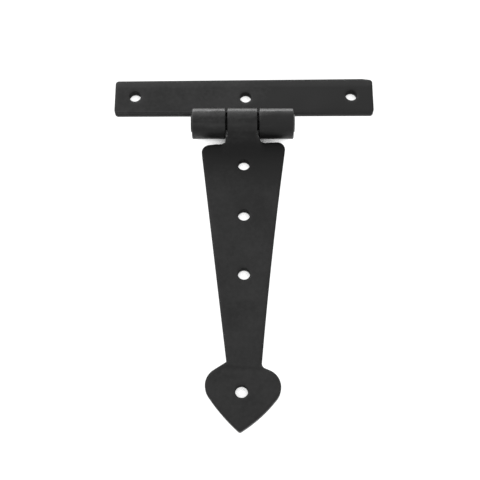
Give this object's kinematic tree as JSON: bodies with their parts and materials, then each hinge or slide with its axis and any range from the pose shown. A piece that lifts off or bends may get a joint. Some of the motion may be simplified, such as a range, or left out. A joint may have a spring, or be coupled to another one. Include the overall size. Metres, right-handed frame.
{
  "type": "tee hinge",
  "caption": "Black steel tee hinge: a short cross plate and a long tapered strap with a spade-shaped tip, joined by rolled knuckles on a pin.",
  "frame": {"origin": "on the axis of the cross plate's middle screw hole, in the back plane that lies on the wood", "axes": "+Z out of the wood towards the front, +X along the cross plate and the pin, the strap points to -Y"},
  "size_m": [0.1111, 0.1528, 0.0131],
  "materials": {
    "black_steel": "satin black coating on hammered and rolled sheet steel",
    "pin_steel": "satin black coating on a steel rod, worn thin on the closed-over ends"
  },
  "bodies": {
    "frame_leaf": {"cross_plate": "black_steel", "hinge_pin": "pin_steel"},
    "door_leaf": {"strap": "black_steel"}
  },
  "joints": [
    {"name": "strap_swing", "type": "hinge", "parent": "frame_leaf", "child": "door_leaf", "pos_m": [-0.0012, -0.0143, 0.00655], "axis": [-1, 0, 0], "range_deg": [-90, 190]}
  ]
}
